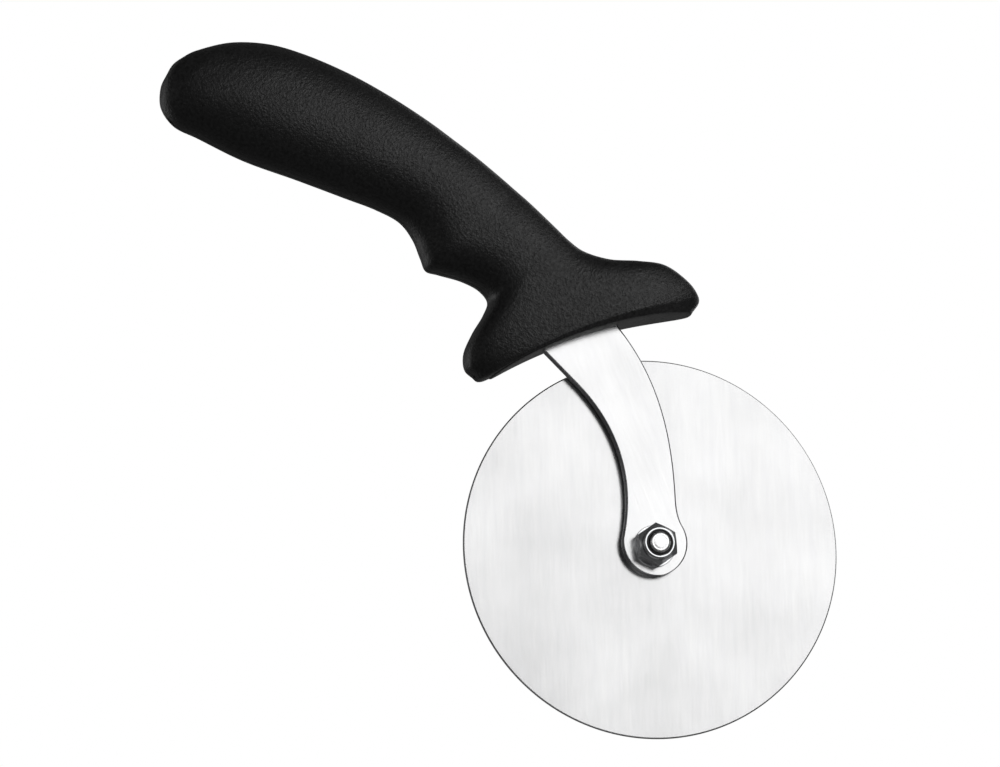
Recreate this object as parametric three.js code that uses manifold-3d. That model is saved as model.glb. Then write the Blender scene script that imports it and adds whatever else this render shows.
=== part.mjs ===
// A pastry cutter wheel: a plain steel disc that rolls on a bolt at the end of a curved flat arm,
// whose tang is moulded into a black plastic handle with a finger notch and a guard.
// Millimetres, +Z up towards the butt of the handle, the wheel spins about Y, and -Y is the nut's side.
import * as THREE from "three";
import { mergeVertices } from "three/addons/utils/BufferGeometryUtils.js";
import Module from "manifold-3d";

const wasm = await Module();
wasm.setup();

// ---- driving dimensions, measured from the centre of the wheel ----
const WHEEL_RADIUS = 50.8; // a 4 inch wheel
const BLADE_THICKNESS = 1;
const EDGE_FLAT = 0.12; // what is left of the thickness at the cutting edge
const FRONT_BEVEL_WIDTH = 0.28; // short and steep, so the face runs out almost to the edge
const FRONT_BEVEL_DEPTH = 0.4;
const BACK_BEVEL_WIDTH = 1.4;

const ARM_THICKNESS = 2.5;
const EYE_RADIUS = 8.85;
const EYE_CENTRE = [1.1, 0.6]; // the eye is a little out of line with its own hole
const TANG_WIDTH = 14;
const TANG_X = 27;
const SHOULDER_Z = 62; // where the arm narrows to the tang, inside the guard
const TANG_TOP_Z = 128;
const ANCHOR_RADIUS = 3;
const ANCHOR_Z = [78, 98, 118];

const BOLT_RADIUS = 2.9; // an M6 thread, plain
const BOLT_CHAMFER = 0.6;
const BOLT_STAND_OUT = 0.6;
const HEAD_RADIUS = 5.25;
const HEAD_HEIGHT = 3.3;
const SOCKET_ACROSS_FLATS = 4;
const SOCKET_DEPTH = 1.9;

const NUT_ACROSS_FLATS = 10;
const NUT_HEIGHT = 6;
const NUT_HEX_HEIGHT = 4.1;
const NUT_COLLAR_RADIUS = 4.5;
const NUT_TURN = -10; // degrees, where the nut came to rest when it was tightened

const NUT_WASHER_RADIUS = 5.6;
const NUT_WASHER_THICKNESS = 1;
const SIDE_WASHER_RADIUS = 7.5;
const SIDE_WASHER_THICKNESS = 0.86;

const SEAT = 0.02; // between two pieces that bear on each other
const RUN = 0.1; // between the wheel and what it turns on or between
const MOULD_FIT = 0.1; // between the plastic and the tang

// Places along the spin axis, from the wheel out to the nut's side, then out to the head's side.
const HALF_BLADE = BLADE_THICKNESS / 2;
const BUSHING_END = HALF_BLADE + RUN;
const SPACER_FACE = -BUSHING_END - SEAT;
const ARM_BACK = SPACER_FACE - SIDE_WASHER_THICKNESS - SEAT;
const ARM_FRONT = ARM_BACK - ARM_THICKNESS;
const NUT_WASHER_BACK = ARM_FRONT - SEAT;
const NUT_BACK = NUT_WASHER_BACK - NUT_WASHER_THICKNESS - SEAT;
const NUT_FRONT = NUT_BACK - NUT_HEIGHT;
const REAR_WASHER_FACE = BUSHING_END + SEAT;
const HEAD_FACE = REAR_WASHER_FACE + SIDE_WASHER_THICKNESS + SEAT;
const MID_PLANE = (ARM_BACK + ARM_FRONT) / 2; // of the arm, and so of the handle

// The origin of the finished part: the middle of the grip, where the hand closes on it.
const GRIP_CENTRE = [16, MID_PLANE, 130];

const ROUND_STEPS = 48;
const WHEEL_STEPS = 120;

const black_plastic = new THREE.MeshStandardMaterial({ color: 0x191a1b, roughness: 0.62, metalness: 0 });
const brushed_steel = new THREE.MeshStandardMaterial({ color: 0xd6d8da, roughness: 0.32, metalness: 1 });
const zinc_plate = new THREE.MeshStandardMaterial({ color: 0xb9bdc0, roughness: 0.28, metalness: 1 });
const sleeve_bronze = new THREE.MeshStandardMaterial({ color: 0xa87f45, roughness: 0.45, metalness: 1 });
const dark_nylon = new THREE.MeshStandardMaterial({ color: 0x1d1d1f, roughness: 0.5, metalness: 0 });

// ---- making and joining solids ----

function solidOf(geometry) {
  const bare = geometry.clone();
  bare.deleteAttribute("normal");
  bare.deleteAttribute("uv");
  const merged = mergeVertices(bare, 1e-4);
  const triVerts = new Uint32Array(merged.index.array);
  return new wasm.Manifold(
    new wasm.Mesh({ numProp: 3, vertProperties: merged.attributes.position.array, triVerts }),
  );
}

function meshOf(name, solid, material) {
  const made = solid.getMesh();
  const geometry = new THREE.BufferGeometry();
  geometry.setAttribute("position", new THREE.BufferAttribute(made.vertProperties, made.numProp));
  geometry.setIndex(new THREE.BufferAttribute(made.triVerts, 1));
  geometry.computeVertexNormals();
  const mesh = new THREE.Mesh(geometry, material);
  mesh.name = name;
  return mesh;
}

// A solid turned about the spin axis. Its outline is a closed run of [radius, y] points.
function turned(outline, steps = ROUND_STEPS) {
  const points = [...outline, outline[0]].map(([r, y]) => new THREE.Vector2(r, y));
  return solidOf(new THREE.LatheGeometry(points, steps));
}

// A flat plate between two places along Y, with its outline given in x and z.
function plate(shape, front, back, curveSegments = 12) {
  const geometry = new THREE.ExtrudeGeometry(shape, { depth: back - front, bevelEnabled: false, curveSegments });
  geometry.rotateX(Math.PI / 2);
  geometry.translate(0, back, 0);
  return solidOf(geometry);
}

// A flat ring between two places along Y.
function ring(inner, outer, front, back) {
  return turned([
    [inner, front],
    [outer, front],
    [outer, back],
    [inner, back],
  ]);
}

function hexagon(acrossFlats, turn) {
  const corner = acrossFlats / Math.sqrt(3);
  const shape = new THREE.Shape();
  for (let i = 0; i < 6; i++) {
    const angle = THREE.MathUtils.degToRad(60 * i + turn);
    const [x, z] = [corner * Math.cos(angle), corner * Math.sin(angle)];
    if (i === 0) shape.moveTo(x, z);
    else shape.lineTo(x, z);
  }
  shape.closePath();
  return shape;
}

// ---- the wheel and what it runs on ----

// The disc, ground to its edge from the back and dressed at the front with a short steep bevel.
// The rings of its faces stay clear of the washers.
function blade() {
  const bore = BOLT_RADIUS + 1.6 + RUN;
  const land = 10;
  const edgeFront = -HALF_BLADE + FRONT_BEVEL_DEPTH;
  return turned(
    [
      [bore, -HALF_BLADE],
      [land, -HALF_BLADE],
      [WHEEL_RADIUS - FRONT_BEVEL_WIDTH, -HALF_BLADE],
      [WHEEL_RADIUS, edgeFront],
      [WHEEL_RADIUS, edgeFront + EDGE_FLAT],
      [WHEEL_RADIUS - BACK_BEVEL_WIDTH, HALF_BLADE],
      [land, HALF_BLADE],
      [bore, HALF_BLADE],
    ],
    WHEEL_STEPS,
  );
}

// The sleeve that the bolt clamps, a little longer than the wheel is thick, so that the wheel stays free.
function bushing() {
  return ring(BOLT_RADIUS + SEAT, BOLT_RADIUS + 1.6, -BUSHING_END, BUSHING_END);
}

function spacer_washer() {
  return ring(BOLT_RADIUS + SEAT, SIDE_WASHER_RADIUS, SPACER_FACE - SIDE_WASHER_THICKNESS, SPACER_FACE);
}

function rear_washer() {
  return ring(BOLT_RADIUS + SEAT, SIDE_WASHER_RADIUS, REAR_WASHER_FACE, REAR_WASHER_FACE + SIDE_WASHER_THICKNESS);
}

function nut_washer() {
  return ring(BOLT_RADIUS + 0.3, NUT_WASHER_RADIUS, NUT_WASHER_BACK - NUT_WASHER_THICKNESS, NUT_WASHER_BACK);
}

// A button head with a hexagon socket on the far side, and a plain shank that ends past the nut.
function pivot_bolt() {
  const end = NUT_FRONT - BOLT_STAND_OUT;
  const top = HEAD_FACE + HEAD_HEIGHT;
  const outline = [
    [0, end],
    [BOLT_RADIUS - BOLT_CHAMFER, end],
    [BOLT_RADIUS, end + BOLT_CHAMFER],
    [BOLT_RADIUS, HEAD_FACE],
    [HEAD_RADIUS, HEAD_FACE],
  ];
  const crown = 8;
  const flatTop = 2.9;
  for (let i = 1; i <= crown; i++) {
    const angle = (Math.PI / 2) * (i / crown);
    outline.push([
      flatTop + (HEAD_RADIUS - flatTop) * Math.cos(angle),
      HEAD_FACE + 0.4 + (HEAD_HEIGHT - 0.4) * Math.sin(angle),
    ]);
  }
  outline.push([0, top]);
  const socket = plate(hexagon(SOCKET_ACROSS_FLATS, 0), top - SOCKET_DEPTH, top + 1);
  return solidOf(new THREE.LatheGeometry(outline.map(([r, y]) => new THREE.Vector2(r, y)), ROUND_STEPS)).subtract(
    socket,
  );
}

// A self-locking nut: a hexagon with its corners turned off, and a round collar crimped over the insert.
function lock_nut() {
  const corner = NUT_ACROSS_FLATS / Math.sqrt(3);
  const hexFront = NUT_BACK - NUT_HEX_HEIGHT;
  const hexagonal = plate(hexagon(NUT_ACROSS_FLATS, NUT_TURN), hexFront - 0.8, NUT_BACK);
  const corners = turned([
    [2, NUT_BACK],
    [2, hexFront - 0.8],
    [corner - 1.25, hexFront - 0.4],
    [corner + 0.05, hexFront + 0.35],
    [corner + 0.05, NUT_BACK - 0.35],
    [corner - 0.6, NUT_BACK],
  ]);
  const collar = turned([
    [2, NUT_BACK - 1],
    [2, NUT_FRONT + 1.5],
    [3.7, NUT_FRONT + 1.5],
    [3.7, NUT_FRONT + 0.3],
    [3.35, NUT_FRONT],
    [3.95, NUT_FRONT],
    [NUT_COLLAR_RADIUS - 0.2, NUT_FRONT + 0.25],
    [NUT_COLLAR_RADIUS, NUT_FRONT + 0.8],
    [NUT_COLLAR_RADIUS, NUT_BACK - 1],
  ]);
  const recess = ring(0.5, 3.7, NUT_FRONT - 1, NUT_FRONT + 1.5);
  const thread = ring(0.5, BOLT_RADIUS + SEAT, NUT_FRONT - 1, NUT_BACK + 1);
  return hexagonal.intersect(corners).subtract(recess).add(collar).subtract(thread);
}

function nylon_insert() {
  return turned([
    [BOLT_RADIUS + SEAT, NUT_FRONT + 0.4],
    [3.45, NUT_FRONT + 0.4],
    [3.66, NUT_FRONT + 0.6],
    [3.66, NUT_FRONT + 1.48],
    [BOLT_RADIUS + SEAT, NUT_FRONT + 1.48],
  ]);
}

// ---- the arm ----

// A flat bar cut to shape: round eye, swept neck, shoulders inside the guard, and a tang with anchor holes.
function arm() {
  const [ex, ez] = EYE_CENTRE;
  const shape = new THREE.Shape();
  const leftAngle = THREE.MathUtils.degToRad(130);
  const rightAngle = THREE.MathUtils.degToRad(348);
  shape.absarc(ex, ez, EYE_RADIUS, leftAngle, rightAngle, false);
  shape.quadraticCurveTo(10.5, 1.2, 12.85, 4);
  shape.bezierCurveTo(22.5, 14.5, 33.5, 28.1, 35.5, 48.2);
  shape.lineTo(36.2, SHOULDER_Z - 3);
  shape.lineTo(TANG_X + TANG_WIDTH / 2, SHOULDER_Z);
  shape.lineTo(TANG_X + TANG_WIDTH / 2, TANG_TOP_Z - TANG_WIDTH / 2);
  shape.absarc(TANG_X, TANG_TOP_Z - TANG_WIDTH / 2, TANG_WIDTH / 2, 0, Math.PI, false);
  shape.lineTo(TANG_X - TANG_WIDTH / 2, SHOULDER_Z);
  shape.lineTo(16, SHOULDER_Z - 3);
  shape.lineTo(16, 46);
  shape.bezierCurveTo(16.3, 31, 10.3, 16.9, ex + EYE_RADIUS * Math.cos(leftAngle), ez + EYE_RADIUS * Math.sin(leftAngle));
  for (const z of ANCHOR_Z) {
    const hole = new THREE.Path();
    hole.absarc(TANG_X, z, ANCHOR_RADIUS, 0, 2 * Math.PI, true);
    shape.holes.push(hole);
  }
  const bolt = new THREE.Path();
  bolt.absarc(0, 0, BOLT_RADIUS + 0.15, 0, 2 * Math.PI, true);
  shape.holes.push(bolt);
  return plate(shape, ARM_FRONT, ARM_BACK);
}

// ---- the handle ----

// Sections across the handle, from the butt down to the guard's underside. Each one is a rounded
// slab between a point on the inner edge (the finger side) and a point on the outer edge:
// inner x, inner z, outer x, outer z, half thickness, squareness, and how far its middle bows up.
const HANDLE_SECTIONS = [
  [-5.1, 179.1, 2.2, 179.3, 3.5, 2.0, 0.3],
  [-8.3, 177.8, 5.8, 177.9, 6.3, 2.1, 1.0],
  [-12.1, 174.0, 13.4, 173.6, 9.2, 2.2, 0.6],
  [-13.1, 168.2, 20.6, 166.3, 10.6, 2.3, 0],
  [-10.7, 161.5, 25.6, 158.0, 11.2, 2.3, 0],
  [-6.1, 149.0, 30.9, 145.8, 11.3, 2.3, 0],
  [0.9, 135.2, 34.6, 134.0, 11.1, 2.3, 0],
  [6.8, 123.2, 37.3, 122.5, 10.9, 2.3, 0],
  [10.8, 115.0, 38.8, 113.5, 10.7, 2.3, 0],
  [13.0, 108.2, 39.8, 106.5, 10.5, 2.4, 0],
  [12.2, 102.6, 40.5, 100.5, 10.4, 2.4, 0],
  [10.1, 97.6, 40.9, 96.0, 10.3, 2.5, 0],
  [8.8, 94.3, 41.2, 92.5, 10.2, 2.5, 0],
  [10.5, 91.3, 41.5, 89.0, 10.2, 2.5, 0],
  [13.9, 85.6, 41.7, 84.0, 10.1, 2.5, 0],
  [15.6, 80.6, 41.8, 78.5, 10, 2.6, 0],
  [15.1, 77.0, 41.9, 73.5, 10, 2.7, 0],
  [12.0, 75.4, 42.6, 69.0, 10, 2.9, 0.3],
  [5.8, 73.8, 46.2, 62.5, 10, 3.1, 0.8],
  [0.1, 71.4, 52.0, 56.4, 10, 3.2, 1.5],
  [-2.5, 68.2, 56.2, 51.0, 10, 3.3, 2.2],
  [-2.4, 65.4, 57.6, 44.6, 10.0, 3.3, 2.8],
  [-2.3, 64.0, 57.4, 40.3, 10.0, 3.2, 3.2],
  [-1.4, 63.1, 56.1, 37.6, 9.95, 3.1, 3.4],
  [0.6, 62.25, 52.6, 36.75, 9.3, 3.0, 3.5],
];
const BUTT_TIP = [-1.6, 180.0];
const RINGS_PER_SECTION = 2;
const RING_STEPS = 36;

// One ring of points: a superellipse between the section's two ends, bowed up by its sag.
function sectionRing([ax, az, bx, bz, half, square, bow]) {
  const [dx, dz] = [bx - ax, bz - az];
  const length = Math.hypot(dx, dz);
  const points = [];
  for (let k = 0; k < RING_STEPS; k++) {
    const angle = (2 * Math.PI * k) / RING_STEPS;
    const along = Math.sign(Math.cos(angle)) * Math.abs(Math.cos(angle)) ** (2 / square);
    const across = Math.sign(Math.sin(angle)) * Math.abs(Math.sin(angle)) ** (2 / square);
    const t = (1 + along) / 2;
    const lift = bow * (1 - along * along);
    points.push([ax + t * dx - (lift * dz) / length, MID_PLANE + half * across, az + t * dz + (lift * dx) / length]);
  }
  return points;
}

// The sections between the given ones, on a smooth curve through each column.
function smoothSections() {
  const columns = (i, j, k) =>
    new THREE.CatmullRomCurve3(HANDLE_SECTIONS.map((s) => new THREE.Vector3(s[i], s[j], k < 0 ? 0 : s[k])));
  const [inner, outer, body] = [columns(0, 1, -1), columns(2, 3, -1), columns(4, 5, 6)];
  const count = (HANDLE_SECTIONS.length - 1) * RINGS_PER_SECTION;
  const sections = [];
  for (let i = 0; i <= count; i++) {
    const [a, b, c] = [inner.getPoint(i / count), outer.getPoint(i / count), body.getPoint(i / count)];
    sections.push([a.x, a.y, b.x, b.y, c.x, c.y, c.z]);
  }
  return sections;
}

// The skin: a fan at the butt, bands between the rings, and strips across the underside.
function handleBody() {
  const rings = smoothSections().map(sectionRing);
  const positions = [[BUTT_TIP[0], MID_PLANE, BUTT_TIP[1]], ...rings.flat()];
  const at = (i, k) => 1 + i * RING_STEPS + ((k + RING_STEPS) % RING_STEPS);
  const faces = [];
  for (let k = 0; k < RING_STEPS; k++) faces.push([0, at(0, k), at(0, k + 1)]);
  for (let i = 0; i + 1 < rings.length; i++) {
    for (let k = 0; k < RING_STEPS; k++) {
      faces.push([at(i, k), at(i + 1, k), at(i + 1, k + 1)]);
      faces.push([at(i, k), at(i + 1, k + 1), at(i, k + 1)]);
    }
  }
  const last = rings.length - 1;
  for (let k = 0; k < RING_STEPS / 2; k++) {
    if (k > 0) faces.push([at(last, k), at(last, -k), at(last, k + 1)]);
    if (k + 1 < RING_STEPS / 2) faces.push([at(last, k + 1), at(last, -k), at(last, -k - 1)]);
  }
  return new wasm.Manifold(
    new wasm.Mesh({
      numProp: 3,
      vertProperties: new Float32Array(positions.flat()),
      triVerts: new Uint32Array(faces.flat()),
    }),
  );
}

// The handle is moulded round the tang, so its cavity is the tang's shape and its pegs fill the anchor holes.
function handle() {
  const half = TANG_WIDTH / 2 + MOULD_FIT;
  const cavity = new THREE.Shape();
  cavity.moveTo(16 - MOULD_FIT, 40);
  cavity.lineTo(34.9, 40);
  cavity.lineTo(36.3, SHOULDER_Z - 3);
  cavity.lineTo(36.3, SHOULDER_Z - 2.8);
  cavity.lineTo(TANG_X + half, SHOULDER_Z + 0.2);
  cavity.lineTo(TANG_X + half, TANG_TOP_Z - TANG_WIDTH / 2);
  cavity.absarc(TANG_X, TANG_TOP_Z - TANG_WIDTH / 2, half, 0, Math.PI, false);
  cavity.lineTo(TANG_X - half, SHOULDER_Z + 0.2);
  cavity.lineTo(16 - MOULD_FIT, SHOULDER_Z - 2.8);
  cavity.closePath();
  let solid = handleBody().subtract(plate(cavity, ARM_FRONT - MOULD_FIT, ARM_BACK + MOULD_FIT));
  for (const z of ANCHOR_Z) {
    const peg = new THREE.Shape();
    peg.absarc(TANG_X, z, ANCHOR_RADIUS - MOULD_FIT, 0, 2 * Math.PI, false);
    solid = solid.add(plate(peg, ARM_FRONT - 1, ARM_BACK + 1));
  }
  return solid;
}

// ---- putting it together ----

const tool = new THREE.Group();
tool.name = "pastry_cutter_wheel";
const frame = new THREE.Group();
frame.name = "handle_and_arm";
frame.add(meshOf("handle", handle(), black_plastic));
frame.add(meshOf("arm", arm(), brushed_steel));
frame.add(meshOf("pivot_bolt", pivot_bolt(), zinc_plate));
frame.add(meshOf("rear_washer", rear_washer(), zinc_plate));
frame.add(meshOf("spacer_washer", spacer_washer(), zinc_plate));
frame.add(meshOf("bushing", bushing(), sleeve_bronze));
frame.add(meshOf("nut_washer", nut_washer(), zinc_plate));
frame.add(meshOf("lock_nut", lock_nut(), zinc_plate));
frame.add(meshOf("nylon_insert", nylon_insert(), dark_nylon));
const wheel = new THREE.Group();
wheel.name = "wheel";
wheel.add(meshOf("blade", blade(), brushed_steel));
tool.add(frame, wheel);
tool.children.forEach((group) => group.position.set(-GRIP_CENTRE[0], -GRIP_CENTRE[1], -GRIP_CENTRE[2]));

export default tool;
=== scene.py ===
import bmesh
import bpy
import numpy as np
from mathutils import Matrix, Vector


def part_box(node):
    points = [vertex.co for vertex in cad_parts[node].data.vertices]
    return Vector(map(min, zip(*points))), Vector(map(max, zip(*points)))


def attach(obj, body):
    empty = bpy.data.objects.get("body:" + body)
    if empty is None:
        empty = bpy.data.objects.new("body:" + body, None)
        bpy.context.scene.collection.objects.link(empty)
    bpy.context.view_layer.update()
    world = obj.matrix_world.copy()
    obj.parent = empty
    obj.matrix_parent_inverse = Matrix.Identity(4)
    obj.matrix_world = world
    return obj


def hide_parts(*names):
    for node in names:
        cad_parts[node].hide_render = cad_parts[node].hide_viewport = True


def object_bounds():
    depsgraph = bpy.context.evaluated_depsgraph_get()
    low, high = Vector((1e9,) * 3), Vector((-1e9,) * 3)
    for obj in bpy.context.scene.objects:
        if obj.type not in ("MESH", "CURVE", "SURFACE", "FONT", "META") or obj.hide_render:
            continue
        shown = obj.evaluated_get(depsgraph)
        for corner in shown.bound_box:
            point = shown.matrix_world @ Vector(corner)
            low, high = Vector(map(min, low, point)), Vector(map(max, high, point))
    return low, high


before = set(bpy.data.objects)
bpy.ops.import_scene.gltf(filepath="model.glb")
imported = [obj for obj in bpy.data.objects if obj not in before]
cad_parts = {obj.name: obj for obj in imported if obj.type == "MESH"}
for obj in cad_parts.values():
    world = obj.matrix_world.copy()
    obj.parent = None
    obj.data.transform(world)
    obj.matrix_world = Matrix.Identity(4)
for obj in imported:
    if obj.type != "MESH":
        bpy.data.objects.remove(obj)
cad_low, cad_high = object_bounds()

# The wheel's centre is where every place below is counted from, in millimetres.
MM = 0.001
blade_low, blade_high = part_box("blade")
WHEEL_CENTRE = np.array((blade_low + blade_high) / 2)

# ---------------------------------------------------------------------------------------------
# Handle: black polypropylene, injection moulded round the arm's tang in a two-part mould, with a
# finger notch under a pointed cusp and a guard curved round the wheel. The mould's parting line
# runs round its edge, and spark erosion of the mould left a fine matt grain.

# Sections from the butt to the guard's underside: inner edge x and z, outer edge x and z,
# half thickness, squareness, and how far the middle bows up.
HANDLE_SECTIONS = np.array([
    (-5.1, 179.1, 2.2, 179.3, 3.5, 2.0, 0.3),
    (-8.3, 177.8, 5.8, 177.9, 6.3, 2.1, 1.0),
    (-12.1, 174.0, 13.4, 173.6, 9.2, 2.2, 0.6),
    (-13.1, 168.2, 20.6, 166.3, 10.6, 2.3, 0.0),
    (-10.7, 161.5, 25.6, 158.0, 11.2, 2.3, 0.0),
    (-6.1, 149.0, 30.9, 145.8, 11.3, 2.3, 0.0),
    (0.9, 135.2, 34.6, 134.0, 11.1, 2.3, 0.0),
    (6.8, 123.2, 37.3, 122.5, 10.9, 2.3, 0.0),
    (10.8, 115.0, 38.8, 113.5, 10.7, 2.3, 0.0),
    (13.0, 108.2, 39.8, 106.5, 10.5, 2.4, 0.0),
    (12.2, 102.6, 40.5, 100.5, 10.4, 2.4, 0.0),
    (10.1, 97.6, 40.9, 96.0, 10.3, 2.5, 0.0),
    (8.8, 94.3, 41.2, 92.5, 10.2, 2.5, 0.0),
    (10.5, 91.3, 41.5, 89.0, 10.2, 2.5, 0.0),
    (13.9, 85.6, 41.7, 84.0, 10.1, 2.5, 0.0),
    (15.6, 80.6, 41.8, 78.5, 10.0, 2.6, 0.0),
    (15.1, 77.0, 41.9, 73.5, 10.0, 2.7, 0.0),
    (12.0, 75.4, 42.6, 69.0, 10.0, 2.9, 0.3),
    (5.8, 73.8, 46.2, 62.5, 10.0, 3.1, 0.8),
    (0.1, 71.4, 52.0, 56.4, 10.0, 3.2, 1.5),
    (-2.5, 68.2, 56.2, 51.0, 10.0, 3.3, 2.2),
    (-2.4, 65.4, 57.6, 44.6, 10.0, 3.3, 2.8),
    (-2.3, 64.0, 57.4, 40.3, 10.0, 3.2, 3.2),
    (-1.4, 63.1, 56.1, 37.6, 9.95, 3.1, 3.4),
    (0.6, 62.25, 52.6, 36.75, 9.3, 3.0, 3.5),
])
BUTT_TIP = (-1.6, 180.0)
HANDLE_MID_Y = -2.75
ROWS_PER_SECTION = 14
COLUMNS_PER_QUARTER = 40
UNDERSIDE_ROWS = 16
UNDERSIDE_CROWN = 0.35
UNDERSIDE_INSET = 0.6
PARTING_LINE_HEIGHT = 0.09
PARTING_LINE_WIDTH = 0.16
# Where the mould's gates were: the share of the way down from the butt, and the edge, 1 for the outer.
GATES = ((0.145, -1), (0.845, -1), (0.905, 1))
GATE_HEIGHT = 0.28
GATE_SPREAD = 0.006


def smooth_through(points, steps):
    """Centripetal Catmull-Rom: between two given points the curve is the cubic whose slopes come from
    their neighbours, weighted by the square root of the distance between points. The first and last
    points only steer the ends."""
    a, b, c, d = points[:-3], points[1:-2], points[2:-1], points[3:]
    gap = [np.maximum(np.linalg.norm(q - p, axis=1), 1e-4)[:, None] ** 0.5 for p, q in ((a, b), (b, c), (c, d))]
    slope_b = (b - a) / gap[0] - (c - a) / (gap[0] + gap[1]) + (c - b) / gap[1]
    slope_c = (c - b) / gap[1] - (d - b) / (gap[1] + gap[2]) + (d - c) / gap[2]
    slope_b, slope_c = slope_b * gap[1], slope_c * gap[1]
    t = (np.arange(steps) / steps)[None, :, None]
    b, c, slope_b, slope_c = (v[:, None, :] for v in (b, c, slope_b, slope_c))
    curve = (
        (2 * t**3 - 3 * t**2 + 1) * b
        + (t**3 - 2 * t**2 + t) * slope_b
        + (3 * t**2 - 2 * t**3) * c
        + (t**3 - t**2) * slope_c
    )
    return np.vstack([curve.reshape(-1, points.shape[1]), points[-2:-1]])


def skin(name, grid, material, sharp_degrees=32, rows_close=False):
    """Joins a grid of points, in millimetres from the wheel's centre, into one closed mesh. Each row is a
    ring, and rows_close makes a ring of the rows too. A row of equal points becomes a pole."""
    rows, columns = grid.shape[:2]
    row = np.arange(rows if rows_close else rows - 1)[:, None]
    column = np.arange(columns)[None, :]
    next_row, next_column = (row + 1) % rows, (column + 1) % columns
    quads = np.stack(
        [row * columns + column, row * columns + next_column,
         next_row * columns + next_column, next_row * columns + column], -1).reshape(-1, 4)
    points = grid.reshape(-1, 3) * MM + WHEEL_CENTRE
    a, b, c, d = (points[quads[:, i]] - points.mean(0) for i in range(4))
    volume = np.einsum("ij,ij->", a, np.cross(b, c)) + np.einsum("ij,ij->", a, np.cross(c, d))
    if volume < 0:
        quads = quads[:, ::-1]
    mesh = bpy.data.meshes.new(name)
    mesh.from_pydata(points.tolist(), [], quads.tolist())
    welded = bmesh.new()
    welded.from_mesh(mesh)
    bmesh.ops.remove_doubles(welded, verts=welded.verts, dist=1e-7)
    welded.to_mesh(mesh)
    welded.free()
    mesh.polygons.foreach_set("use_smooth", np.ones(len(mesh.polygons), bool))
    mesh.set_sharp_from_angle(angle=np.radians(sharp_degrees))
    mesh.materials.append(material)
    piece = bpy.data.objects.new(name, mesh)
    bpy.context.scene.collection.objects.link(piece)
    return piece


def start_material(name):
    """A material with its own nodes, and the three things every finish below works with."""
    material = bpy.data.materials.new(name)
    material.use_nodes = True
    tree = material.node_tree
    surface = tree.nodes["Principled BSDF"]
    place = tree.nodes.new("ShaderNodeTexCoord").outputs["Object"]
    return material, tree, surface, place


def noise(tree, place, size, detail=3.0, roughness=0.5, stretch=None, turn=None):
    """Cloudy noise whose features are about size metres across, or stretch times that along each of its own
    axes, which turn gives."""
    if stretch is not None:
        mapping = tree.nodes.new("ShaderNodeMapping")
        mapping.vector_type = "TEXTURE"
        tree.links.new(place, mapping.inputs["Vector"])
        mapping.inputs["Rotation"].default_value = turn or (0, 0, 0)
        mapping.inputs["Scale"].default_value = stretch
        place = mapping.outputs["Vector"]
    cloud = tree.nodes.new("ShaderNodeTexNoise")
    tree.links.new(place, cloud.inputs["Vector"])
    cloud.inputs["Scale"].default_value = 1 / size
    cloud.inputs["Detail"].default_value = detail
    cloud.inputs["Roughness"].default_value = roughness
    return cloud.outputs["Fac"]


def spread(tree, value, low, high, from_low=0.3, from_high=0.7):
    """Turns a noise value into a range."""
    ramp = tree.nodes.new("ShaderNodeMapRange")
    tree.links.new(value, ramp.inputs["Value"])
    ramp.inputs["From Min"].default_value = from_low
    ramp.inputs["From Max"].default_value = from_high
    ramp.inputs["To Min"].default_value = low
    ramp.inputs["To Max"].default_value = high
    return ramp.outputs["Result"]


def blend_colour(tree, share, dark, light):
    """A colour between two, by a share from 0 to 1."""
    mix = tree.nodes.new("ShaderNodeMix")
    mix.data_type = "RGBA"
    tree.links.new(share, mix.inputs[0])
    mix.inputs[6].default_value = (*dark, 1)
    mix.inputs[7].default_value = (*light, 1)
    return mix.outputs[2]


def bump(tree, height, distance, strength=1.0, below=None):
    """Dents the surface by the height, times distance in metres, over an earlier bump if there is one."""
    dent = tree.nodes.new("ShaderNodeBump")
    tree.links.new(height, dent.inputs["Height"])
    dent.inputs["Distance"].default_value = distance
    dent.inputs["Strength"].default_value = strength
    if below is not None:
        tree.links.new(below, dent.inputs["Normal"])
    return dent.outputs["Normal"]


def black_polypropylene():
    """Nearly black plastic: a fine eroded grain, faint clouds in its gloss, and paler rubbed specks."""
    material, tree, surface, place = start_material("black_polypropylene")
    clouds = noise(tree, place, 0.012, detail=4)
    grain = noise(tree, place, 0.00085, detail=2, roughness=0.6)
    fine = noise(tree, place, 0.0005, detail=1, roughness=0.5)
    colour = blend_colour(tree, spread(tree, grain, 0, 1), (0.001, 0.001, 0.0011), (0.025, 0.0252, 0.0256))
    tree.links.new(colour, surface.inputs["Base Color"])
    gloss = tree.nodes.new("ShaderNodeMath")
    gloss.operation = "ADD"
    tree.links.new(spread(tree, clouds, -0.03, 0.03), gloss.inputs[0])
    tree.links.new(spread(tree, grain, 0.45, 0.34), gloss.inputs[1])
    tree.links.new(gloss.outputs[0], surface.inputs["Roughness"])
    surface.inputs["Specular IOR Level"].default_value = 0.5
    coarse_bump = bump(tree, grain, 0.00018)
    tree.links.new(bump(tree, fine, 0.00008, below=coarse_bump), surface.inputs["Normal"])
    return material


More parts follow.
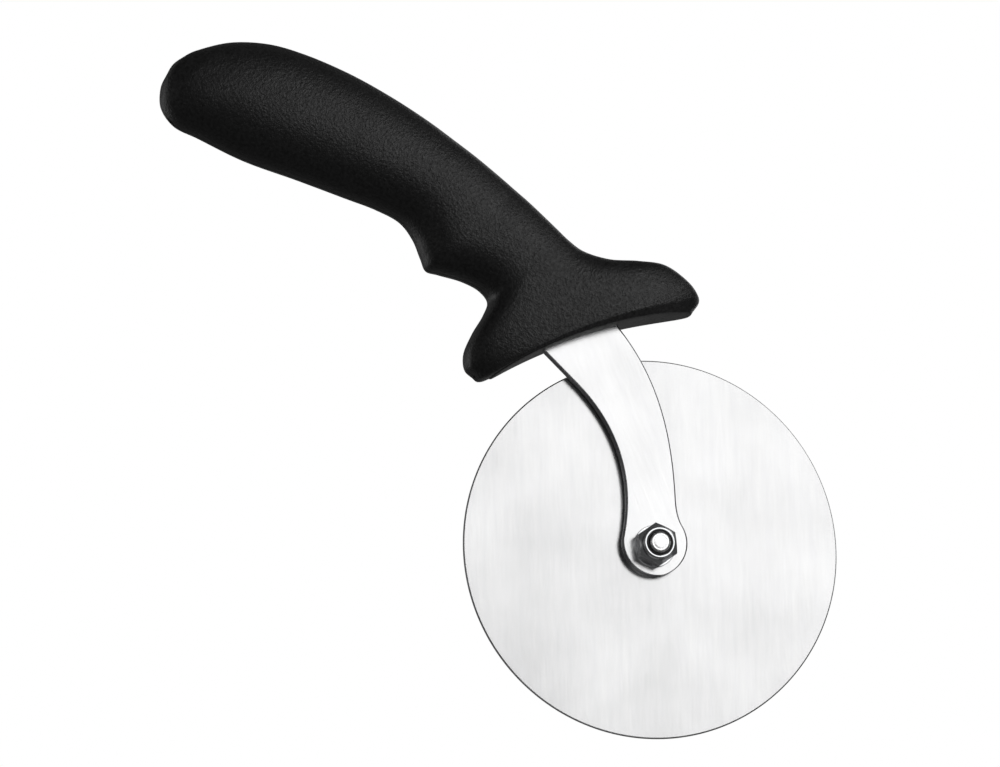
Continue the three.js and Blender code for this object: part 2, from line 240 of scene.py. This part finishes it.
def handle_rows():
    """The sections and those between them, from the pole at the butt to the line that closes the underside."""
    first, last = HANDLE_SECTIONS[0], HANDLE_SECTIONS[-1]
    pole = np.array([*BUTT_TIP, *BUTT_TIP, 0, 2, 0])
    across_pole = np.array([first[2], first[3], first[0], first[1], -first[4], first[5], first[6]])
    steered = np.vstack([across_pole, pole, HANDLE_SECTIONS, 2 * last - HANDLE_SECTIONS[-2]])
    parts = [smooth_through(steered[:, i:j], ROWS_PER_SECTION) for i, j in ((0, 2), (2, 4), (4, 7))]
    rows = np.hstack(parts)
    share = np.arange(1, UNDERSIDE_ROWS + 1) / UNDERSIDE_ROWS
    underside = np.repeat(rows[-1:], UNDERSIDE_ROWS, axis=0)
    along = (last[2:4] - last[0:2]) / np.linalg.norm(last[2:4] - last[0:2])
    down = np.array([along[1], -along[0]])
    drop = UNDERSIDE_CROWN * (1 - (1 - share) ** 2)
    inset = UNDERSIDE_INSET * share
    underside[:, 0:2] += drop[:, None] * down + inset[:, None] * along
    underside[:, 2:4] += drop[:, None] * down - inset[:, None] * along
    underside[:, 4] *= np.sqrt(1 - share**2)
    return np.vstack([rows, underside])


def handle_grid():
    """Each row is a superellipse between its two edge points: (x/a)^n + (y/b)^n = 1, bowed up in the middle
    by a parabola. A low ridge round both edges is the parting line, a little higher where the gates were."""
    rows = handle_rows()
    quarter = (np.arange(COLUMNS_PER_QUARTER) / COLUMNS_PER_QUARTER) ** 1.6 * (np.pi / 2)
    height = np.sin(quarter)
    # One ring runs from the outer edge over the back to the inner edge, and home over the front.
    up = np.concatenate([height, 1 + 0 * height[:1], height[:0:-1]])
    ring_height = np.concatenate([up, -up[:1] * 0, -up[1:]])[: 4 * COLUMNS_PER_QUARTER]
    side = np.repeat([1.0, -1.0, -1.0, 1.0], COLUMNS_PER_QUARTER)
    side[COLUMNS_PER_QUARTER] = 0
    side[3 * COLUMNS_PER_QUARTER] = 0
    inner, outer, half, square, bow = rows[:, 0:2], rows[:, 2:4], rows[:, 4:5], rows[:, 5:6], rows[:, 6:7]
    along = side * (1 - np.abs(ring_height) ** square).clip(0) ** (1 / square)
    chord = outer - inner
    length = np.maximum(np.linalg.norm(chord, axis=1, keepdims=True), 1e-6)
    unit = chord / length
    across = half * ring_height
    share = (1 + along) / 2
    lift = bow * (1 - along**2)
    depth_from_edge = np.exp(-((across / PARTING_LINE_WIDTH) ** 2)) * np.sign(side)
    travel = np.linspace(0, 1, len(rows))[:, None]
    gates = sum(
        np.exp(-(((travel - at) / GATE_SPREAD) ** 2)) * (np.sign(side) == edge)
        for at, edge in GATES
    )
    # The ridge dies away towards the butt's tip and isn't carried across the underside.
    fade = np.minimum(1, length / 14) * (half > 0.6 * half.max())
    ridge = depth_from_edge * (PARTING_LINE_HEIGHT + GATE_HEIGHT * gates) * fade
    x = inner[:, :1] + share * chord[:, :1] - lift * unit[:, 1:] + ridge * unit[:, :1]
    z = inner[:, 1:] + share * chord[:, 1:] + lift * unit[:, :1] + ridge * unit[:, 1:]
    return np.stack([x, HANDLE_MID_Y + across, z], -1)


handle = skin("moulded_handle", handle_grid(), black_polypropylene(), sharp_degrees=60)
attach(handle, "handle_and_arm")
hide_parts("handle")

# ---------------------------------------------------------------------------------------------
# Arm: one flat bar of 2.5 mm stainless steel, cut to shape and polished along its length, with a
# round eye for the bolt. Its tang runs up inside the handle, and its cut edges are left sheared.

ARM_FRONT, ARM_BACK = -4.0, -1.5
EYE_CENTRE = np.array((1.1, 0.6))
EYE_RADIUS = 8.85
EYE_FROM, EYE_FOOT, EYE_TO = np.radians((130.0, 239.0, 348.0))
ARM_EDGE_BREAK = 0.45
TANG_INNER, TANG_OUTER = (20.0, 126.0), (34.0, 126.0)


def bezier(points, count):
    """A Bezier curve of any degree, worked out by repeated halfway-style blending between its points."""
    t = np.linspace(0, 1, count)[:, None]
    level = [np.array(p, float)[None, :] for p in points]
    while len(level) > 1:
        level = [(1 - t) * p + t * q for p, q in zip(level, level[1:])]
    return level[0]


def even(points, count):
    """The same line with its points an equal distance apart."""
    gone = np.concatenate([[0], np.cumsum(np.linalg.norm(np.diff(points, axis=0), axis=1))])
    at = np.linspace(0, gone[-1], count)
    return np.stack([np.interp(at, gone, points[:, i]) for i in range(points.shape[1])], 1)


def arc(centre, radius, start, end, count):
    """Points along part of a circle, at even angles."""
    angle = np.linspace(start, end, count)[:, None]
    return centre + radius * np.hstack([np.cos(angle), np.sin(angle)])


def arm_edges():
    """Its two edges from the foot of the eye up to the tang, as lines of points that pair off."""
    inner_eye = arc(EYE_CENTRE, EYE_RADIUS, EYE_FOOT, EYE_FROM, 60)
    outer_eye = arc(EYE_CENTRE, EYE_RADIUS, EYE_FOOT, EYE_TO, 60)
    inner_neck = bezier([inner_eye[-1], (10.3, 16.9), (16.3, 31.0), (16.0, 46.0)], 400)
    outer_fillet = bezier([outer_eye[-1], (10.5, 1.2), (12.85, 4.0)], 60)
    outer_neck = bezier([(12.85, 4.0), (22.5, 14.5), (33.5, 28.1), (35.5, 48.2)], 400)
    inner_tang = np.array([(16.0, 46.0), (16.0, 60.0), TANG_INNER])
    outer_tang = np.array([(35.5, 48.2), (36.2, 60.0), TANG_OUTER])
    inner = np.vstack([even(inner_neck, 150)[1:], even(inner_tang, 30)[1:]])
    outer = np.vstack([even(np.vstack([outer_fillet, outer_neck[1:]]), 150)[1:], even(outer_tang, 30)[1:]])
    return np.vstack([inner_eye, inner]), np.vstack([outer_eye, outer])


def arm_grid():
    """A flat bar: each ring runs across the front face, down one edge, back across the rear face and up the
    other, with its four corners broken by a small round."""
    inner, outer = arm_edges()
    half_width = np.linalg.norm(outer - inner, axis=1)[:, None] / 2
    middle = (inner + outer) / 2
    unit = (outer - inner) / np.maximum(2 * half_width, 1e-6)
    half_thick = (ARM_BACK - ARM_FRONT) / 2
    turn = np.linspace(0, np.pi / 2, 5)
    corner_in = ARM_EDGE_BREAK * (1 - np.sin(turn))
    corner_down = ARM_EDGE_BREAK * (1 - np.cos(turn))
    share = np.concatenate([[-1, -0.5, 0, 0.5, 1], np.ones(5), np.ones(3), np.ones(5)])
    near = ARM_EDGE_BREAK + 0.15
    inset = np.concatenate([[near, 0, 0, 0, near], corner_in, [0, 0, 0], corner_in[::-1]])
    depth = np.concatenate([np.full(5, -half_thick), -half_thick + corner_down,
                            [0.08 - half_thick + ARM_EDGE_BREAK, 0, half_thick - ARM_EDGE_BREAK - 0.08],
                            half_thick - corner_down[::-1]])
    share, inset = np.concatenate([share, -share]), np.concatenate([inset, inset])
    depth = np.concatenate([depth, -depth])
    reach = share * half_width - np.sign(share) * np.minimum(inset * (np.abs(share) == 1), half_width * 0.5)
    x = middle[:, :1] + reach * unit[:, :1]
    z = middle[:, 1:] + reach * unit[:, 1:]
    y = np.broadcast_to((ARM_FRONT + ARM_BACK) / 2 + depth, x.shape)
    grid = np.stack([x, y, z], -1)
    end = grid[-1:].mean(1, keepdims=True) + 0 * grid[-1:]
    return np.concatenate([grid, end])


def brushed_stainless(name, turn, light, dark, gloss=(0.2, 0.25)):
    """Stainless sheet with a fine straight grain: long thin scratches in its colour, gloss and height,
    over faint clouds where the finish varies. The turn sets the way the grain runs."""
    material, tree, surface, place = start_material(name)
    scratches = noise(tree, place, 0.00016, detail=3, roughness=0.7, stretch=(1, 1, 60), turn=turn)
    streaks = noise(tree, place, 0.0022, detail=4, roughness=0.6, stretch=(1, 1, 14), turn=turn)
    clouds = noise(tree, place, 0.02, detail=3)
    surface.inputs["Metallic"].default_value = 1.0
    mixed = tree.nodes.new("ShaderNodeMath")
    mixed.operation = "MULTIPLY_ADD"
    tree.links.new(scratches, mixed.inputs[0])
    mixed.inputs[1].default_value = 0.55
    tree.links.new(spread(tree, streaks, 0, 0.45), mixed.inputs[2])
    tree.links.new(blend_colour(tree, spread(tree, mixed.outputs[0], 0, 1, 0.25, 0.75), dark, light),
                   surface.inputs["Base Color"])
    roughness = tree.nodes.new("ShaderNodeMath")
    roughness.operation = "ADD"
    tree.links.new(spread(tree, scratches, 0, gloss[1] - gloss[0]), roughness.inputs[0])
    tree.links.new(spread(tree, clouds, gloss[0] - 0.02, gloss[0] + 0.02), roughness.inputs[1])
    tree.links.new(roughness.outputs[0], surface.inputs["Roughness"])
    tree.links.new(bump(tree, scratches, 0.0000015), surface.inputs["Normal"])
    return material


def painted_shade_edge_steel():
    """The cut edge of sheet steel: dull and scored through its thickness by the die, with its colour darkened
    as painted shade for the dark line that the edge shows.
    """
    material, tree, surface, place = start_material("sheared_edge_painted_shade")
    scores = noise(tree, place, 0.00025, detail=3, roughness=0.7, stretch=(1, 12, 1))
    patches = noise(tree, place, 0.003, detail=2)
    surface.inputs["Metallic"].default_value = 1.0
    # Painted shade: the edge's colour is set well below the face's, so the edge reads as a dark line.
    tree.links.new(blend_colour(tree, spread(tree, scores, 0, 1), (0.2, 0.2, 0.21), (0.4, 0.4, 0.41)),
                   surface.inputs["Base Color"])
    tree.links.new(spread(tree, patches, 0.24, 0.34), surface.inputs["Roughness"])
    tree.links.new(bump(tree, scores, 0.00002), surface.inputs["Normal"])
    return material


def finish_edges(piece, material, flatness=0.99):
    """Gives the second material to every face that isn't square to the spin axis: one whose normal lies along
    the axis by less than the flatness."""
    mesh = piece.data
    mesh.materials.append(material)
    normals = np.empty(3 * len(mesh.polygons))
    mesh.polygons.foreach_get("normal", normals)
    mesh.polygons.foreach_set("material_index", (np.abs(normals[1::3]) < flatness).astype(np.int32))


ARM_GRAIN = (0, np.radians(24), 0)
arm_steel = brushed_stainless("brushed_arm_steel", ARM_GRAIN, (0.62, 0.62, 0.62), (0.595, 0.595, 0.6))
arm = skin("steel_arm", arm_grid(), arm_steel, sharp_degrees=50)
finish_edges(arm, painted_shade_edge_steel())
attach(arm, "handle_and_arm")
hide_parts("arm")

# ---------------------------------------------------------------------------------------------
# Blade: a 4 inch disc of 1 mm stainless sheet with a straight mill grain, bored for its sleeve and
# ground to an edge from both sides. It is the one piece that turns.

BLADE_RADIUS = (blade_high.x - blade_low.x) / 2 / MM
HALF_BLADE = (blade_high.y - blade_low.y) / 2 / MM
BLADE_BORE = 4.6
FRONT_BEVEL_WIDTH, FRONT_BEVEL_DEPTH = 0.28, 0.4
BACK_BEVEL_WIDTH = 1.4
EDGE_FLAT = 0.12
BLADE_STEPS = 480
BLADE_GRAIN = (0, np.radians(44), 0)


def turned_grid(outline, steps):
    """A closed outline of radius and y carried round the spin axis."""
    outline = np.array(outline, float)
    angle = (2 * np.pi * np.arange(steps) / steps)[:, None]
    radius = outline[None, :, 0]
    x, z = radius * np.cos(angle), radius * np.sin(angle)
    y = np.broadcast_to(outline[None, :, 1], x.shape)
    return np.stack([x, y, z], -1)


def blade_outline():
    """Bore, front face, short bevel, edge, long back bevel and back face, as radius and y."""
    front, back = -HALF_BLADE, HALF_BLADE
    edge = front + FRONT_BEVEL_DEPTH
    front_bevel, back_bevel = BLADE_RADIUS - FRONT_BEVEL_WIDTH, BLADE_RADIUS - BACK_BEVEL_WIDTH
    outline = [(BLADE_BORE, front + 0.1), (BLADE_BORE + 0.1, front), (BLADE_BORE + 0.25, front)]
    outline += [(r, front) for r in (20, 35, front_bevel - 0.12, front_bevel - 0.03)]
    outline += [(front_bevel, front + 0.01), (front_bevel + 0.03, front + 0.045)]
    outline += [(BLADE_RADIUS - 0.02, edge - 0.03), (BLADE_RADIUS, edge), (BLADE_RADIUS, edge + EDGE_FLAT),
                (BLADE_RADIUS - 0.03, edge + EDGE_FLAT + 0.01)]
    outline += [(back_bevel + 0.15, back - 0.055), (back_bevel + 0.04, back - 0.015), (back_bevel - 0.04, back)]
    outline += [(r, back) for r in (back_bevel - 0.15, 35, 20, BLADE_BORE + 0.25, BLADE_BORE + 0.1)]
    return outline + [(BLADE_BORE, back - 0.1)]


def ground_steel():
    """The bevel fresh from the wheel that ground it: fine rings of scratches that run round the disc."""
    material, tree, surface, place = start_material("ground_bevel_steel")
    from_axis = tree.nodes.new("ShaderNodeVectorMath")
    from_axis.operation = "SUBTRACT"
    tree.links.new(place, from_axis.inputs[0])
    from_axis.inputs[1].default_value = tuple(WHEEL_CENTRE)
    reach = tree.nodes.new("ShaderNodeVectorMath")
    reach.operation = "LENGTH"
    tree.links.new(from_axis.outputs["Vector"], reach.inputs[0])
    rings = tree.nodes.new("ShaderNodeTexNoise")
    rings.noise_dimensions = "1D"
    tree.links.new(reach.outputs["Value"], rings.inputs["W"])
    rings.inputs["Scale"].default_value = 1 / 0.00008
    rings.inputs["Detail"].default_value = 4
    surface.inputs["Metallic"].default_value = 1.0
    colour = blend_colour(tree, spread(tree, rings.outputs["Fac"], 0, 1), (0.5, 0.5, 0.51), (0.8, 0.8, 0.81))
    tree.links.new(colour, surface.inputs["Base Color"])
    tree.links.new(spread(tree, noise(tree, place, 0.004, detail=3), 0.26, 0.36), surface.inputs["Roughness"])
    tree.links.new(bump(tree, rings.outputs["Fac"], 0.000004), surface.inputs["Normal"])
    return material


blade_steel = brushed_stainless("brushed_sheet_steel", BLADE_GRAIN, (0.59, 0.59, 0.59), (0.56, 0.56, 0.565))
blade = skin("wheel_blade", turned_grid(blade_outline(), BLADE_STEPS), blade_steel, rows_close=True)
finish_edges(blade, ground_steel())
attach(blade, "wheel")
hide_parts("blade")

# ---------------------------------------------------------------------------------------------
# Sleeve and washers: a short sintered bronze bush that the nut clamps and the disc turns on, and
# three stamped steel washers with one edge rounded by the die. Plated bright.

SHANK_RADIUS = 2.9
SEAT = 0.02


def bright_plate(name, roughness=(0.12, 0.2), colour=(0.78, 0.79, 0.8)):
    """Bright nickel plate: fine random scuffs in its gloss and a slight waviness from the forging under it."""
    material, tree, surface, place = start_material(name)
    scuffs = noise(tree, place, 0.0005, detail=4, roughness=0.7)
    waves = noise(tree, place, 0.0018, detail=2)
    surface.inputs["Metallic"].default_value = 1.0
    darker = tuple(0.82 * c for c in colour)
    tree.links.new(blend_colour(tree, spread(tree, scuffs, 0, 1), darker, colour), surface.inputs["Base Color"])
    tree.links.new(spread(tree, scuffs, *roughness), surface.inputs["Roughness"])
    first = bump(tree, waves, 0.00002)
    tree.links.new(bump(tree, scuffs, 0.000006, below=first), surface.inputs["Normal"])
    return material


def sintered_bronze():
    """Oil-soaked bronze: tiny open pores and brown blotches."""
    material, tree, surface, place = start_material("sintered_bronze")
    pores = noise(tree, place, 0.00025, detail=4, roughness=0.7)
    blotches = noise(tree, place, 0.002, detail=3)
    surface.inputs["Metallic"].default_value = 1.0
    tree.links.new(blend_colour(tree, spread(tree, blotches, 0, 1), (0.42, 0.27, 0.12), (0.66, 0.47, 0.24)),
                   surface.inputs["Base Color"])
    tree.links.new(spread(tree, pores, 0.35, 0.6), surface.inputs["Roughness"])
    tree.links.new(bump(tree, pores, 0.00002), surface.inputs["Normal"])
    return material


def washer_outline(inner, outer, front, back):
    """A flat ring, its front outer edge rounded over and its other edges just broken."""
    turn = np.linspace(0, np.pi / 2, 6)
    round_over = 0.15 * abs(back - front)
    fall = np.sign(back - front) * round_over
    rounded = [(outer - round_over * (1 - np.sin(t)), front + fall * (1 - np.cos(t))) for t in turn]
    inwards = np.sign(back - front)
    return [(inner, front + 0.08 * inwards), (inner + 0.08, front), (inner + 0.2, front),
            (rounded[0][0] - 0.1, front), *rounded,
            (outer, back - 0.12 * inwards), (outer, back - 0.06 * inwards), (outer - 0.06, back),
            (outer - 0.15, back), (inner + 0.15, back), (inner + 0.06, back), (inner, back - 0.06 * inwards)]


plate_bright = bright_plate("bright_plate")
SIDE_WASHER_RADIUS = 7.5
for node, inner, outer, front, back in (
    ("nut_washer", 3.2, 5.6, -5.02, -4.02),
    ("spacer_washer", SHANK_RADIUS + SEAT, SIDE_WASHER_RADIUS, -1.48, -0.62),
    ("rear_washer", SHANK_RADIUS + SEAT, SIDE_WASHER_RADIUS, 1.48, 0.62),
):
    washer = skin(node + "_stamped", turned_grid(washer_outline(inner, outer, front, back), 160), plate_bright,
                  rows_close=True)
    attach(washer, "handle_and_arm")
    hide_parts(node)

bush_outline = [(SHANK_RADIUS + SEAT, -0.5), (3.02, -0.6), (4.4, -0.6), (4.5, -0.5),
                (4.5, 0.5), (4.4, 0.6), (3.02, 0.6), (SHANK_RADIUS + SEAT, 0.5)]
bush = skin("sintered_bush", turned_grid(bush_outline, 120), sintered_bronze(), rows_close=True)
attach(bush, "handle_and_arm")
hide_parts("bushing")

# ---------------------------------------------------------------------------------------------
# Bolt: M6 button head with a hexagon socket at the back. Its rolled thread ends in a chamfer that
# stands just proud of the nut.

HEAD_FACE = 1.5
HEAD_HEIGHT, HEAD_RADIUS, HEAD_FLAT = 3.3, 5.25, 2.9
SOCKET_FLATS, SOCKET_DEPTH = 4.0, 1.9
BOLT_END = -11.64
CHAMFER = 0.62
THREAD_PITCH, THREAD_DEPTH = 1.0, 0.28
HEX_STEPS = 240


def hexagon_radius(angle, across_flats, turn):
    """How far a hexagon's side is from its middle, in each direction."""
    off_flat = (angle - turn) % (np.pi / 3) - np.pi / 6
    return across_flats / 2 / np.cos(off_flat)


def bolt_grid():
    """Rings from the middle of the chamfered end, along the thread, over the head's dome, and down into the
    socket. Each thread turn is a wave of the radius that follows the angle, one pitch to a turn."""
    angle = 2 * np.pi * np.arange(HEX_STEPS) / HEX_STEPS
    end_radius = np.array([0, 0.2, 0.5, 1.7, 1.76, 1.82, 1.88, 2.3, SHANK_RADIUS - CHAMFER + 0.12])
    end_y = BOLT_END + np.array([0.01, 0.005, 0.0, 0.0, 0.01, 0.01, 0.0, 0.0, 0.03])
    shank_y = np.linspace(BOLT_END + 0.1, HEAD_FACE - 2.2, 150)
    limit = np.minimum(SHANK_RADIUS, SHANK_RADIUS - CHAMFER + (shank_y - BOLT_END - 0.04))
    wave = np.abs((shank_y[:, None] / THREAD_PITCH - angle[None, :] / (2 * np.pi)) % 1 - 0.5) * 2
    thread = SHANK_RADIUS - THREAD_DEPTH * (1 - wave.clip(0.08, 0.92))
    shank = np.minimum(limit[:, None], thread)
    dome = np.linspace(0, np.pi / 2, 22)
    head_radius = np.concatenate([[SHANK_RADIUS, SHANK_RADIUS, HEAD_RADIUS - 0.15, HEAD_RADIUS],
                                  HEAD_FLAT + (HEAD_RADIUS - HEAD_FLAT) * np.cos(dome)])
    head_y = np.concatenate([[HEAD_FACE - 2.1, HEAD_FACE, HEAD_FACE, HEAD_FACE + 0.12],
                             HEAD_FACE + 0.4 + (HEAD_HEIGHT - 0.4) * np.sin(dome)])
    flats = hexagon_radius(angle, SOCKET_FLATS, 0)
    top = HEAD_FACE + HEAD_HEIGHT
    around = np.ones_like(angle)
    rows = [(r * around, y) for r, y in zip(end_radius, end_y)]
    rows += [(r, y) for r, y in zip(shank, shank_y)]
    rows += [(r * around, y) for r, y in zip(head_radius, head_y)]
    bottom = top - SOCKET_DEPTH
    rows += [(flats + 0.12, top), (flats, top - 0.12), (flats, bottom), (0.5 * flats, bottom - 0.25),
             (0 * flats, bottom - 0.5)]
    return np.stack([np.stack([r * np.cos(angle), y + 0 * angle, r * np.sin(angle)], -1) for r, y in rows])


bolt_plate = bright_plate("bolt_plate", (0.16, 0.26), (0.82, 0.82, 0.82))
bolt = skin("button_bolt", bolt_grid(), bolt_plate, sharp_degrees=35)
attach(bolt, "handle_and_arm")
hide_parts("pivot_bolt")

# ---------------------------------------------------------------------------------------------
# Nut: cold-forged M6 self-locking hexagon, both ends of its corners turned off by a 30 degree
# chamfer, with a round collar crimped over a nylon ring. The ring is wider than the thread is deep.

NUT_BACK, NUT_FRONT = -5.04, -11.04
NUT_FLATS = 10.0
NUT_TURN = np.radians(-10)
HEX_FRONT = NUT_BACK - 4.1
COLLAR_RADIUS = 4.5


def nut_grid():
    """A turned outline cut down to a hexagon: in each direction the radius is the smaller of the outline's
    and the hexagon's, over the stretch that the spanner takes."""
    corner = NUT_FLATS / np.sqrt(3)
    angle = NUT_TURN + 2 * np.pi * np.arange(HEX_STEPS) / HEX_STEPS
    slope = np.linspace(0, 1, 9)
    outline = [(SHANK_RADIUS + SEAT, NUT_BACK - 0.3), (3.25, NUT_BACK)]
    outline += [(4.6 + s * (corner - 4.6), NUT_BACK - s * 0.55) for s in slope]
    outline += [(corner, y) for y in np.linspace(NUT_BACK - 0.7, HEX_FRONT + 0.75, 6)]
    outline += [(corner - s * (corner - COLLAR_RADIUS - 0.15), HEX_FRONT + 0.6 - s * 0.85) for s in slope]
    outline += [(COLLAR_RADIUS + 0.03, HEX_FRONT - 0.34), (COLLAR_RADIUS, HEX_FRONT - 0.5)]
    bend = np.linspace(0, np.pi / 2, 9)
    outline += [(COLLAR_RADIUS - 0.62 * (1 - np.cos(b)), NUT_FRONT + 0.75 - 0.75 * np.sin(b)) for b in bend]
    # The crimped lip, the pocket that the nylon ring sits in, and the step down to the thread.
    outline += [(3.62, NUT_FRONT + 0.02), (3.45, NUT_FRONT + 0.14), (3.42, NUT_FRONT + 0.3)]
    outline += [(3.68, NUT_FRONT + 0.42), (3.7, NUT_FRONT + 1.5), (3.2, NUT_FRONT + 1.52)]
    outline += [(SHANK_RADIUS + SEAT, NUT_FRONT + 1.8)]
    flats = hexagon_radius(angle, NUT_FLATS, NUT_TURN)
    rows = []
    for radius, y in outline:
        around = np.minimum(radius, flats) if radius > COLLAR_RADIUS + 0.05 else radius + 0 * flats
        rows.append(np.stack([around * np.cos(angle), y + 0 * angle, around * np.sin(angle)], -1))
    return np.stack(rows)


nut_plate = bright_plate("nut_plate", (0.12, 0.2), (0.66, 0.67, 0.68))
# Painted shade: the hexagon's flats and the collar's sides take a darker copy of the nut's plate, for the dark
# they show.
nut_flats_painted_shade = bright_plate("nut_flat_plate_painted_shade", (0.2, 0.3), (0.34, 0.34, 0.35))
nut = skin("collared_lock_nut", nut_grid(), nut_plate, sharp_degrees=28, rows_close=True)
finish_edges(nut, nut_flats_painted_shade, flatness=0.3)
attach(nut, "handle_and_arm")
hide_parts("lock_nut")


def black_nylon():
    """Smooth nylon with faint moulding ripples."""
    material, tree, surface, place = start_material("black_nylon")
    ripples = noise(tree, place, 0.0007, detail=3)
    colour = blend_colour(tree, spread(tree, ripples, 0, 1), (0.006, 0.006, 0.007), (0.012, 0.012, 0.013))
    tree.links.new(colour, surface.inputs["Base Color"])
    tree.links.new(spread(tree, ripples, 0.35, 0.5), surface.inputs["Roughness"])
    tree.links.new(bump(tree, ripples, 0.00002), surface.inputs["Normal"])
    return material


insert_outline = [(SHANK_RADIUS + SEAT, NUT_FRONT + 0.5), (3.0, NUT_FRONT + 0.42), (3.3, NUT_FRONT + 0.4),
                  (3.45, NUT_FRONT + 0.45), (3.64, NUT_FRONT + 0.62), (3.66, NUT_FRONT + 1.4),
                  (3.6, NUT_FRONT + 1.48), (SHANK_RADIUS + SEAT, NUT_FRONT + 1.48)]
insert = skin("nylon_ring", turned_grid(insert_outline, 120), black_nylon(), rows_close=True)
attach(insert, "handle_and_arm")
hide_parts("nylon_insert")

# ---------------------------------------------------------------------------------------------
# Stage: a white floor well below the tool and a white surround, seen by the camera but adding no
# light of their own to the tool, and soft studio lights.

FLOOR_DROP = 0.9
SURROUND_RADIUS = 9.0


def stage_white(name):
    """Plain white that shows as white whatever light falls on it."""
    material = bpy.data.materials.new(name)
    material.use_nodes = True
    tree = material.node_tree
    tree.nodes.clear()
    glow = tree.nodes.new("ShaderNodeEmission")
    glow.inputs["Strength"].default_value = 1.0
    glow.inputs["Color"].default_value = (1, 1, 1, 1)
    output = tree.nodes.new("ShaderNodeOutputMaterial")
    tree.links.new(glow.outputs[0], output.inputs["Surface"])
    return material


def add_stage(name, size, place, sphere=False):
    """A round floor or a sphere of so many metres' radius, that only the camera sees."""
    shape = bmesh.new()
    if sphere:
        bmesh.ops.create_icosphere(shape, subdivisions=4, radius=size)
    else:
        bmesh.ops.create_circle(shape, cap_ends=True, segments=96, radius=size)
    mesh = bpy.data.meshes.new(name)
    shape.to_mesh(mesh)
    shape.free()
    mesh.transform(Matrix.Translation(place))
    mesh.materials.append(stage_white(name + "_white"))
    thing = bpy.data.objects.new(name, mesh)
    bpy.context.scene.collection.objects.link(thing)
    for kind in ("diffuse", "glossy", "transmission", "shadow"):
        setattr(thing, "visible_" + kind, False)


add_stage("floor", SURROUND_RADIUS, Vector((0, 0, cad_low.z - FLOOR_DROP)))
add_stage("surround", SURROUND_RADIUS, Vector((0, 0, 0)), sphere=True)


def softbox(name, place, aim, size, radiance):
    """A rectangular soft light of even brightness. Its power is its area times pi times that brightness."""
    data = bpy.data.lights.new(name, "AREA")
    data.shape = "RECTANGLE"
    data.size, data.size_y = size
    data.energy = radiance * np.pi * size[0] * size[1]
    light = bpy.data.objects.new(name, data)
    light.location = place
    light.rotation_mode = "QUATERNION"
    light.rotation_quaternion = (Vector(aim) - Vector(place)).to_track_quat("-Z", "Y")
    light.visible_camera = False
    bpy.context.scene.collection.objects.link(light)
    return light


AIM = (-0.0146, 0.0, -0.0707)


def softbox_towards(name, azimuth, elevation, distance, size, radiance):
    """A softbox seen from the tool at so many degrees round from the nut's side towards the outer edge of
    the grip, and so many up, square to the line to the tool."""
    azimuth, elevation = np.radians((azimuth, elevation))
    level = np.cos(elevation)
    towards = np.array((np.sin(azimuth) * level, -np.cos(azimuth) * level, np.sin(elevation)))
    return softbox(name, tuple(np.array(AIM) + distance * towards), AIM, size, radiance)


softbox_towards("key", 32, -4, 1.3, (1.06, 0.5), 1.62)
softbox_towards("key_spill", 30, 2, 1.35, (1.2, 1.1), 0.2)
softbox_towards("right_strip", 74, -6, 1.3, (0.5, 0.36), 1.1)
softbox_towards("left_strip", -2, 16, 1.3, (0.16, 0.3), 1.2)
softbox_towards("upper_left", -63, 44, 1.3, (0.5, 0.5), 0.3)
softbox_towards("behind_left", -145, 35, 1.3, (0.8, 0.9), 0.55)
softbox_towards("behind_below", 165, -16, 1.3, (0.9, 0.7), 0.09)
softbox_towards("behind_right", 142, -12, 1.3, (0.8, 1.0), 0.6)
softbox_towards("from_below", 10, -72, 1.3, (0.8, 0.6), 0.22)

# A reflector placed where only the polished steel would show it, so it lights the steel alone.
steel_reflector = softbox_towards("steel_reflector", -45, -25, 1.3, (1.0, 1.0), 0.6)
steel_pieces = bpy.data.collections.new("steel_pieces")
for piece in (arm, blade):
    steel_pieces.objects.link(piece)
steel_reflector.light_linking.receiver_collection = steel_pieces

world = bpy.data.worlds.new("studio")
bpy.context.scene.world = world
world.use_nodes = True
world.node_tree.nodes["Background"].inputs["Color"].default_value = (1, 1, 1, 1)
world.node_tree.nodes["Background"].inputs["Strength"].default_value = 0.085

# ---------------------------------------------------------------------------------------------
# Camera: two metres away and a little to the finger side, level with the guard, and rolled so that
# the handle rises to the upper left.

CAMERA_PLACE = Vector((-0.5692, -1.9195, -0.0459))
ROLL = np.radians(-44.3)
data = bpy.data.cameras.new("camera")
data.sensor_width = 36.0
data.lens = 271.94
camera = bpy.data.objects.new("camera", data)
bpy.context.scene.collection.objects.link(camera)
camera.location = CAMERA_PLACE
camera.rotation_mode = "QUATERNION"
look = (Vector(AIM) - CAMERA_PLACE).to_track_quat("-Z", "Y")
camera.rotation_quaternion = look @ Matrix.Rotation(ROLL, 4, "Z").to_quaternion()
data.clip_start, data.clip_end = 0.05, 50
bpy.context.scene.camera = camera
bpy.context.scene.view_settings.view_transform = "Standard"
